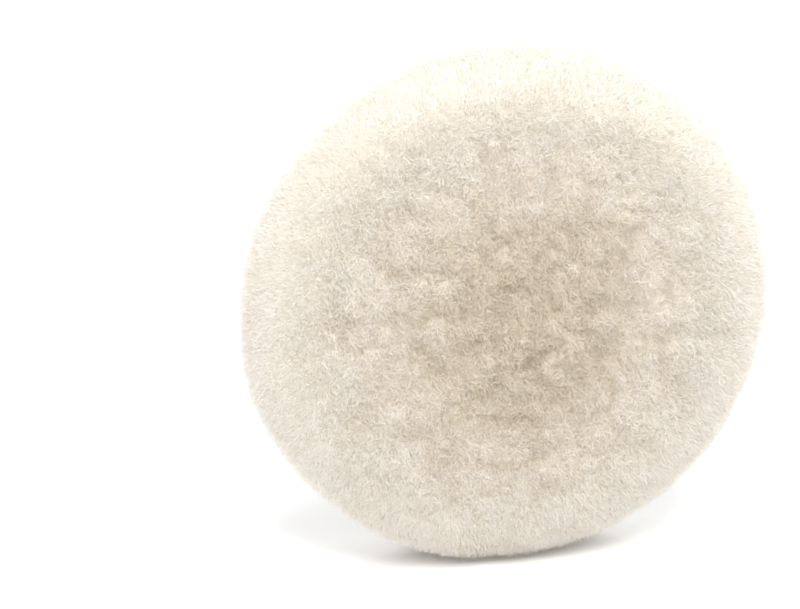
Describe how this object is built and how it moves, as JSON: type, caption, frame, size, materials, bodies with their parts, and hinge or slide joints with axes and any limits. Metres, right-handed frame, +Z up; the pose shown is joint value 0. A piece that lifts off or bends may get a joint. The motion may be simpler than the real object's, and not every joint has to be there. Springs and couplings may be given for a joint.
{
  "type": "polishing pad",
  "caption": "Round sheepskin polishing pad: deep wool face on a hide, with a loop cloth backing overcast round its edge with doubled thread.",
  "frame": {"origin": "centre of the flat loop face that meets the backing plate", "axes": "+Y is the spin axis and points out of the loop face, towards the polisher; the wool looks along -Y; +Z is up as the pad stands on its rim"},
  "size_m": [0.17, 0.033, 0.17],
  "materials": {
    "wool": "soft clipped fleece, cream, matte",
    "hide": "tanned suede, undyed",
    "ground_cloth": "black warp knit",
    "loop_nap": "brushed black loops, matte",
    "thread": "white spun sewing thread, soft"
  },
  "bodies": {
    "root": {"wool_pile": "wool", "sheepskin_hide": "hide", "backing_ground_cloth": "ground_cloth", "backing_loop_nap": "loop_nap", "stitch_strand_a": "thread", "stitch_strand_b": "thread", "thread_start_knot": "thread", "thread_end_knot": "thread"}
  },
  "joints": []
}
